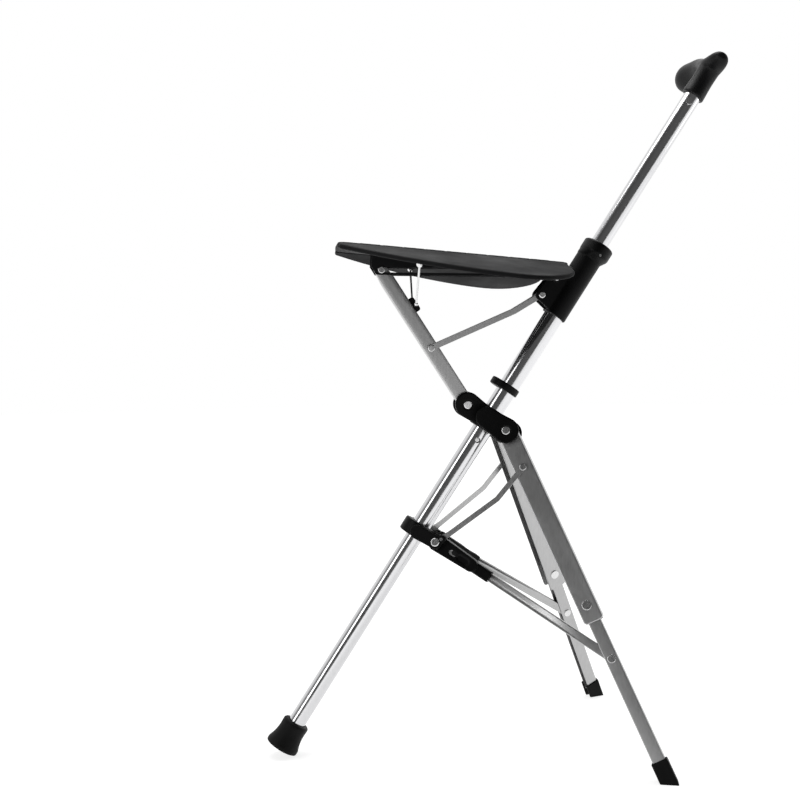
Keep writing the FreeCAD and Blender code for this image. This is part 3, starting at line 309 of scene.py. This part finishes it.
class MaterialShop:
    """Makes each finish's material once."""

    def __init__(self, texture: Texture = Texture()) -> None:
        """Start with no materials.

        Args:
            texture: numbers that all finishes share.
        """
        self.texture = texture
        self.made: dict[str, bpy.types.Material] = {}

    def get(self, finish: Finish) -> bpy.types.Material:
        """Material of a finish, made on first use.

        Args:
            finish: surface finish.

        Returns:
            Its material.
        """
        if finish.name not in self.made:
            self.made[finish.name] = self._build(finish)
            log.info("material %s", finish.name)
        return self.made[finish.name]

    def _build(self, finish: Finish) -> bpy.types.Material:
        """Build the material of a finish.

        Args:
            finish: surface finish.

        Returns:
            The new material.
        """
        look = self.texture
        graph = Graph(bpy.data.materials.new(finish.name))
        place = graph.add("ShaderNodeTexCoord", out="Object")
        broad = graph.add("ShaderNodeTexNoise", values={
            "Vector": place, "Scale": look.broad, "Detail": look.broad_detail})
        fine = graph.add("ShaderNodeTexNoise", values={
            "Vector": place, "Scale": 1.0 / finish.grain, "Detail": look.fine_detail,
            "Roughness": look.fine_rough})
        spread = broad.ramp(*look.band, -1.0, 1.0) * finish.worn
        rough = spread * finish.rough + fine.ramp(*look.band, -look.jitter, look.jitter) + finish.rough
        if finish.coat in (Coat.MOULDED, Coat.RUBBER):
            dust = graph.add("ShaderNodeTexNoise", values={
                "Vector": place, "Scale": look.dust, "Detail": look.dust_detail})
            motes, patches = dust.ramp(*look.dust_band), broad.ramp(*look.patch_band)
            shade = motes * look.dust_share + patches * look.dust_share
            low = [c * (1.0 - look.dark * finish.worn) for c in finish.color]
            high = [c * (1.0 + look.pale * finish.worn) + look.haze for c in finish.color]
        else:
            along = graph.add("ShaderNodeMapping", values={
                "Vector": place, "Rotation": (0.0, math.radians(look.lean), 0.0), "Scale": look.brush})
            brushed = graph.add("ShaderNodeTexNoise", values={
                "Vector": along, "Scale": 1.0, "Detail": look.brush_detail})
            shade = brushed.ramp(*look.band)
            low = [c * (1.0 - finish.worn) for c in finish.color]
            high = [min(1.0, c * (1.0 + look.shine * finish.worn)) for c in finish.color]
            rough = rough + shade * look.streak
        color = graph.tint(low, high, shade)
        bump = graph.add("ShaderNodeBump", values={
            "Height": fine, "Strength": look.bump, "Distance": finish.relief})
        surface = graph.add("ShaderNodeBsdfPrincipled", values={
            "Base Color": color, "Roughness": rough, "Metallic": finish.metal, "Normal": bump,
            "Specular IOR Level": finish.gleam})
        graph.add("ShaderNodeOutputMaterial", values={"Surface": surface})
        return graph.block

    def dress(self, thing: bpy.types.Object, finish: Finish) -> None:
        """Give an object one finish all over.

        Args:
            thing: object to dress.
            finish: surface finish.
        """
        material = self.get(finish)
        if not thing.material_slots:
            thing.data.materials.append(material)
        for slot in thing.material_slots:
            slot.material = material


@dataclass
class Rework:
    """Common ground of the copies that take a CAD piece's place.

    Args:
        shop: makes and gives the materials.
    """

    shop: MaterialShop

    def _link(self, name: str, data: bpy.types.Mesh) -> bpy.types.Object:
        """Put a mesh into the scene.

        Args:
            name: name of the new object.
            data: its mesh.

        Returns:
            The new object.
        """
        thing = bpy.data.objects.new(name, data)
        bpy.context.scene.collection.objects.link(thing)
        return thing

    def _smooth(self, data: bpy.types.Mesh) -> None:
        """Shade all faces smooth.

        Args:
            data: mesh to shade.
        """
        for face in data.polygons:
            face.use_smooth = True

    def _settle(self, thing: bpy.types.Object, node: str, body: str, finish: Finish) -> bpy.types.Object:
        """Dress a new piece and put it in its node's place.

        Args:
            thing: new piece.
            node: CAD node that it replaces.
            body: body that it rides on.
            finish: surface finish.

        Returns:
            The piece.
        """
        self.shop.dress(thing, finish)
        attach(thing, body)
        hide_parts(node)
        log.info("piece %s on %s", thing.name, body)
        return thing


@dataclass
class Remould(Rework):
    """Copies a moulded CAD piece with softened edges, as it leaves its mould.

    Args:
        ease: strength of one smoothing pass.
    """

    ease: float = 0.5

    def __call__(self, node: str, body: str, finish: Finish, voxel: float, passes: int) -> bpy.types.Object:
        """Replace a CAD node by its softened copy.

        Args:
            node: CAD node.
            body: body that it rides on.
            finish: surface finish.
            voxel: remesh size in millimetres.
            passes: smoothing passes.

        Returns:
            The new piece.
        """
        thing = self._link("soft_" + node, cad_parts[node].data.copy())
        remesh = thing.modifiers.new("remesh", "REMESH")
        remesh.mode = "VOXEL"
        remesh.voxel_size = voxel * MM
        remesh.use_smooth_shade = True
        ease = thing.modifiers.new("ease", "SMOOTH")
        ease.factor = self.ease
        ease.iterations = passes
        graph = bpy.context.evaluated_depsgraph_get()
        solid = bpy.data.meshes.new_from_object(thing.evaluated_get(graph))
        thing.modifiers.clear()
        thing.data = solid
        self._smooth(solid)
        return self._settle(thing, node, body, finish)


@dataclass
class Deburr(Rework):
    """Copies a sheet-metal CAD piece with its sharp edges broken.

    Args:
        weld: distance within which points are merged, metres.
        flat: angle under which faces are joined, degrees.
        sharp: angle over which an edge is broken, degrees.
        short: edges shorter than this stay, millimetres.
        crease: angle over which the shading breaks, degrees.
        steps: segments of a broken edge.
        bulge: profile of a broken edge.
    """

    weld: float = 1e-6
    flat: float = 0.8
    sharp: float = 38
    short: float = 0.6
    crease: float = 34
    steps: int = 2
    bulge: float = 0.6

    def __call__(self, node: str, body: str, finish: Finish, width: float) -> bpy.types.Object:
        """Replace a CAD node by a copy with rounded edges.

        Args:
            node: CAD node.
            body: body that it rides on.
            finish: surface finish.
            width: width of the broken edge in millimetres.

        Returns:
            The new piece.
        """
        mesh = bmesh.new()
        mesh.from_mesh(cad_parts[node].data)
        bmesh.ops.remove_doubles(mesh, verts=mesh.verts, dist=self.weld)
        bmesh.ops.dissolve_limit(mesh, angle_limit=math.radians(self.flat), verts=mesh.verts,
                                 edges=mesh.edges)
        edges = [edge for edge in mesh.edges if len(edge.link_faces) == 2
                 and edge.calc_face_angle(0.0) > math.radians(self.sharp)
                 and edge.calc_length() > self.short * MM]
        bmesh.ops.bevel(mesh, geom=edges, offset=width * MM, segments=self.steps, affect="EDGES",
                        profile=self.bulge, clamp_overlap=True)
        data = bpy.data.meshes.new("clean_" + node)
        mesh.to_mesh(data)
        mesh.free()
        self._smooth(data)
        data.set_sharp_from_angle(angle=math.radians(self.crease))
        return self._settle(self._link("clean_" + node, data), node, body, finish)


@dataclass
class Assembly:
    """Common ground of the sub-assemblies.

    Args:
        shop: makes and gives the materials.
        mould: softens moulded pieces.
        deburr: breaks the edges of sheet metal.
    """

    shop: MaterialShop
    mould: Remould
    deburr: Deburr

    def build(self) -> None:
        """Build and dress the sub-assembly's pieces."""
        raise NotImplementedError

    def carry(self, finish: Finish, *nodes: str) -> None:
        """Keep CAD nodes as they are, with a better material.

        Args:
            finish: surface finish.
            nodes: CAD nodes.
        """
        for node in nodes:
            self.shop.dress(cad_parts[node], finish)
            log.info("node %s in %s", node, finish.name)


@dataclass
class Cane(Assembly):
    """Cane tube, handle and main foot.

    Args:
        grip_voxel: remesh size of the handle, millimetres.
        grip_passes: smoothing passes of the handle.
        foot_voxel: remesh size of the foot, millimetres.
        foot_passes: smoothing passes of the foot.
    """

    grip_voxel: float = 1.0
    grip_passes: int = 6
    foot_voxel: float = 0.7
    foot_passes: int = 3

    def build(self) -> None:
        """Dress the cane."""
        self.carry(Finishes.TUBE, "inner_tube")
        self.carry(Finishes.STEEL, "foot_washer", "handle_button", "lock_button_right", "lock_button_left")
        self.carry(Finishes.SPRING, "lock_spring", "key_spring")
        self.mould("handle", "cane", Finishes.GRIP, self.grip_voxel, self.grip_passes)
        self.mould("main_foot", "cane", Finishes.RUBBER, self.foot_voxel, self.foot_passes)


@dataclass
class OuterFrame(Assembly):
    """Outer tube with its bracket, disc and lower ring.

    Args:
        bracket_voxel: remesh size of the bracket and the ring, millimetres.
        disc_voxel: remesh size of the disc, millimetres.
        passes: smoothing passes.
    """

    bracket_voxel: float = 0.7
    disc_voxel: float = 0.6
    passes: int = 3

    def build(self) -> None:
        """Dress the outer frame."""
        self.carry(Finishes.TUBE, "outer_tube")
        self.carry(Finishes.STEEL, "collar_pin", "seat_pins", "brace_bolt", "strut_screws", "stay_pins")
        for node, voxel in (("top_bracket", self.bracket_voxel), ("stop_disc", self.disc_voxel),
                            ("lower_ring", self.bracket_voxel)):
            self.mould(node, "outer_frame", Finishes.MOULDING, voxel, self.passes)


@dataclass
class SlidingBlock(Assembly):
    """Block that slides on the outer tube, with its bolts.

    Args:
        voxel: remesh size, millimetres.
        passes: smoothing passes.
    """

    voxel: float = 0.7
    passes: int = 3

    def build(self) -> None:
        """Dress the block."""
        self.carry(Finishes.STEEL, "arm_bolt", "leg_bolts")
        self.mould("sliding_block", "middle_block", Finishes.MOULDING, self.voxel, self.passes)


@dataclass
class FrontLinkage(Assembly):
    """Front arm, braces and the pin under the seat.

    Args:
        arm_edge: width of the arm's broken edges, millimetres.
        bar_edge: width of the bars' broken edges, millimetres.
        clip_voxel: remesh size of the wire clip, millimetres.
        clip_passes: smoothing passes of the clip.
    """

    arm_edge: float = 0.35
    bar_edge: float = 0.25
    clip_voxel: float = 0.5
    clip_passes: int = 2

    def build(self) -> None:
        """Dress the front linkage."""
        self.deburr("front_arm", "front_arm", Finishes.CHANNEL, self.arm_edge)
        self.deburr("brace_bars", "brace", Finishes.CHANNEL, self.bar_edge)
        self.carry(Finishes.STEEL, "brace_rivets", "glider_pin")
        self.mould("wire_clip", "front_arm", Finishes.MOULDING, self.clip_voxel, self.clip_passes)


@dataclass
class Seat(Assembly):
    """Middle panel with slotted tracks and two hinged wings.

    Args:
        voxel: remesh size of the panel and the wings, millimetres.
        passes: smoothing passes.
    """

    voxel: float = 0.8
    passes: int = 7

    def build(self) -> None:
        """Dress the seat."""
        self.carry(Finishes.SEAT, "seat_tracks")
        self.carry(Finishes.STEEL, "seat_screws", "hinge_pins")
        self.mould("seat_panel", "seat", Finishes.SEAT, self.voxel, self.passes)
        for side in Side:
            wing = "wing_" + side.label
            self.mould(wing, wing, Finishes.SEAT, self.voxel, self.passes)
            self.carry(Finishes.STEEL, "wire_pin_" + side.label, "wing_wire_" + side.label)


@dataclass
class RearLeg(Assembly):
    """One rear leg with its strut, stay and rubber foot.

    Args:
        side: side of the stick.
        edge: width of the channels' broken edges, millimetres.
        foot_voxel: remesh size of the rubber foot, millimetres.
        end_voxel: remesh size of the strut's moulded end, millimetres.
        passes: smoothing passes.
    """

    side: Side = Side.RIGHT
    edge: float = 0.35
    foot_voxel: float = 0.5
    end_voxel: float = 0.6
    passes: int = 2

    def build(self) -> None:
        """Dress the leg."""
        tail = "_" + self.side.label
        for name in ("upper_leg", "lower_leg", "strut", "stay"):
            self.deburr(name + tail, name + tail, Finishes.CHANNEL, self.edge)
        self.carry(Finishes.STEEL, "knee_rivet" + tail, "strut_rivets" + tail, "strut_end_pins" + tail,
                   "stay_rivet" + tail)
        self.mould("rubber_foot" + tail, "lower_leg" + tail, Finishes.RUBBER, self.foot_voxel, self.passes)
        self.mould("strut_end" + tail, "strut" + tail, Finishes.MOULDING, self.end_voxel, self.passes)


@dataclass(frozen=True)
class CameraFit:
    """Camera that matches the photograph, found from points of known size.

    Args:
        target: point looked at, in metres.
        azimuth: turn about the vertical, radians.
        elevation: angle over the horizon, radians.
        roll: turn about the line of sight, radians.
        distance: from the target, metres.
        pixels: width and height of the frame in pixels.
        focal: focal length in pixels.
        centre: principal point in pixels.
        sensor: width of the sensor in millimetres.
    """

    target: Point = (-0.01547, 0.0, 0.32992)
    azimuth: float = -0.158936
    elevation: float = 0.094762
    roll: float = -0.007526
    distance: float = 1.32846
    pixels: float = 800.0
    focal: float = 1229.505
    centre: Pair = (484.37, 445.71)
    sensor: float = 36.0


@dataclass(frozen=True)
class Lamp:
    """One area lamp.

    Args:
        name: the lamp's name.
        place: where it stands, metres.
        target: where it points, metres.
        size: width and height, metres.
        power: in watts.
    """

    name: str
    place: Point
    target: Point
    size: Pair
    power: float


LAMPS = (Lamp("top", (-0.15, 0.25, 1.9), (0.0, 0.0, 0.35), (1.6, 1.0), 19.0),
         Lamp("left", (-1.7, -0.9, 0.9), (-0.1, 0.0, 0.45), (0.5, 1.5), 8.0),
         Lamp("right", (1.7, -0.1, 0.9), (0.1, 0.0, 0.4), (0.5, 1.6), 4.0))


@dataclass(frozen=True)
class Setting:
    """Floor and surroundings.

    Args:
        radius: radius of the floor, metres.
        sides: corners of the floor.
        floor: base colour of the floor.
        matt: roughness of the floor.
        near: distance where the floor's own white is lowest, metres.
        far: distance from which it is full, metres.
        least: its lowest value.
        levels: brightness of the surroundings along Y, as ramps that are added up.
        strength: strength of the light from the surroundings.
        backdrop: range of Y over which metal begins to see the white backdrop.
    """

    radius: float = 6.0
    sides: int = 96
    floor: float = 0.45
    matt: float = 0.9
    near: float = 0.25
    far: float = 0.95
    least: float = 0.80
    levels: tuple[tuple[float, float, float, float], ...] = (
        (-1.0, -0.4, 0.08, 0.0), (-0.4, 0.04, 0.12, 0.70), (0.04, 1.0, 0.0, 0.30))
    strength: float = 0.55
    backdrop: Pair = (0.05, 0.45)


class Studio:
    """Floor, surroundings, lamps and camera."""

    def __init__(self, fit: CameraFit = CameraFit(), setting: Setting = Setting()) -> None:
        """Keep the numbers of the studio.

        Args:
            fit: camera that matches the photograph.
            setting: floor and surroundings.
        """
        self.fit = fit
        self.setting = setting

    def build(self) -> None:
        """Set up the studio."""
        self._floor()
        self._world()
        for lamp in LAMPS:
            self._light(lamp)
        self._camera()
        scene = bpy.context.scene
        scene.view_settings.view_transform = "Standard"
        scene.view_settings.look = "None"

    def _floor(self) -> None:
        """Lay a floor that is white to the camera and to metal, and keeps the shadow."""
        setting = self.setting
        bpy.ops.mesh.primitive_circle_add(vertices=setting.sides, radius=setting.radius,
                                          fill_type="NGON", location=(0.0, 0.0, 0.0))
        floor = bpy.context.object
        floor.name = "floor"
        graph = Graph(bpy.data.materials.new("floor"))
        place = graph.add("ShaderNodeTexCoord", out="Object")
        away = graph.add("ShaderNodeVectorMath", {"operation": "LENGTH"}, {0: place}, out="Value")
        ray = graph.add("ShaderNodeLightPath", out="Is Camera Ray")
        seen = (ray + ray.output("Is Glossy Ray") + ray.output("Is Transmission Ray")).ramp(0.0, 1.0)
        glow = graph.tint(BLACK, WHITE, away.ramp(setting.near, setting.far, setting.least, 1.0) * seen)
        surface = graph.add("ShaderNodeBsdfPrincipled", values={
            "Base Color": (setting.floor, setting.floor, setting.floor, 1.0), "Roughness": setting.matt,
            "Specular IOR Level": 0.0, "Emission Color": glow, "Emission Strength": 1.0})
        graph.add("ShaderNodeOutputMaterial", values={"Surface": surface})
        floor.data.materials.append(graph.block)

    def _world(self) -> None:
        """Surround the stick with light, white where the camera and metal see the backdrop."""
        world = bpy.data.worlds.new("studio")
        bpy.context.scene.world = world
        graph = Graph(world)
        place = graph.add("ShaderNodeTexCoord", out="Generated")
        depth = graph.add("ShaderNodeSeparateXYZ", values={0: place}, out="Y")
        first, *rest = [depth.ramp(*level) for level in self.setting.levels]
        grey = graph.tint(BLACK, WHITE, sum(rest, first))
        lit = graph.add("ShaderNodeBackground", values={"Color": grey, "Strength": self.setting.strength})
        white = graph.add("ShaderNodeBackground", values={"Color": (*WHITE, 1.0), "Strength": 1.0})
        ray = graph.add("ShaderNodeLightPath", out="Is Camera Ray")
        back = depth.ramp(*self.setting.backdrop)
        seen = (ray + ray.output("Is Transmission Ray") + ray.output("Is Glossy Ray") * back).ramp(0.0, 1.0)
        both = graph.add("ShaderNodeMixShader", values={0: seen, 1: lit, 2: white})
        graph.add("ShaderNodeOutputWorld", values={"Surface": both})

    def _light(self, lamp: Lamp) -> None:
        """Set up one lamp.

        Args:
            lamp: its numbers.
        """
        data = bpy.data.lights.new(lamp.name, "AREA")
        data.shape = "RECTANGLE"
        data.size, data.size_y = lamp.size
        data.energy = lamp.power
        thing = bpy.data.objects.new(lamp.name, data)
        thing.location = lamp.place
        aim = Vector(lamp.target) - Vector(lamp.place)
        thing.rotation_euler = aim.to_track_quat("-Z", "Y").to_euler()
        bpy.context.scene.collection.objects.link(thing)

    def _camera(self) -> None:
        """Place the camera where the photograph was taken."""
        fit = self.fit
        a, e, r = fit.azimuth, fit.elevation, fit.roll
        back = Vector((math.sin(a) * math.cos(e), -math.cos(a) * math.cos(e), math.sin(e)))
        right = Vector((math.cos(a), math.sin(a), 0.0))
        up = back.cross(right)
        x = right * math.cos(r) + up * math.sin(r)
        y = up * math.cos(r) - right * math.sin(r)
        origin = Vector(fit.target) + back * fit.distance
        data = bpy.data.cameras.new("camera")
        data.sensor_width = fit.sensor
        data.sensor_fit = "HORIZONTAL"
        data.lens = fit.focal / fit.pixels * fit.sensor
        data.shift_x = (fit.pixels / 2 - fit.centre[0]) / fit.pixels
        data.shift_y = (fit.centre[1] - fit.pixels / 2) / fit.pixels
        camera = bpy.data.objects.new("camera", data)
        rows = [(x[i], y[i], back[i], origin[i]) for i in range(3)]
        camera.matrix_world = Matrix((*rows, (0.0, 0.0, 0.0, 1.0)))
        bpy.context.scene.collection.objects.link(camera)
        bpy.context.scene.camera = camera


def main() -> None:
    """Dress the stick and set up the studio."""
    logging.basicConfig(level=logging.INFO)
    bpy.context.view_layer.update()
    shop = MaterialShop()
    tools = (shop, Remould(shop), Deburr(shop))
    parts: list[Assembly] = [Cane(*tools), OuterFrame(*tools), SlidingBlock(*tools), FrontLinkage(*tools),
                             Seat(*tools)]
    parts += [RearLeg(*tools, side) for side in Side]
    for part in parts:
        part.build()
    Studio().build()


if __name__ == "__main__":
    main()
